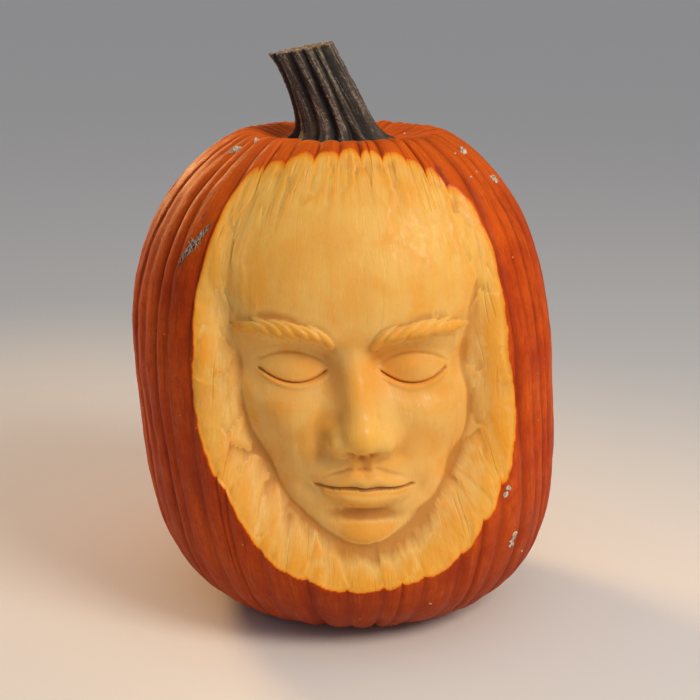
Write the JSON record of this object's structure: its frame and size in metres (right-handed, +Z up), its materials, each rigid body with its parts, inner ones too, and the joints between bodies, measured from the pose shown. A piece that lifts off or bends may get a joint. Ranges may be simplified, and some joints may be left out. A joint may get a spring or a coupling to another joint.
{
  "type": "carved pumpkin",
  "caption": "Tall ribbed orange pumpkin on a flat base, its peeled front carved in relief as a calm sleeping face, with a leaning dry stem.",
  "frame": {"origin": "middle of the flat base that the pumpkin stands on", "axes": "+Z up, -Y the way the carved face looks, +X to the right of someone who looks at the face"},
  "size_m": [0.2826, 0.2754, 0.3736],
  "materials": {
    "pumpkin": "waxy orange rind, moist yellow flesh where it is peeled and carved",
    "stem": "dry, fluted, grey-brown with pale fibres"
  },
  "bodies": {
    "root": {"pumpkin": "pumpkin", "stem": "stem"}
  },
  "joints": []
}
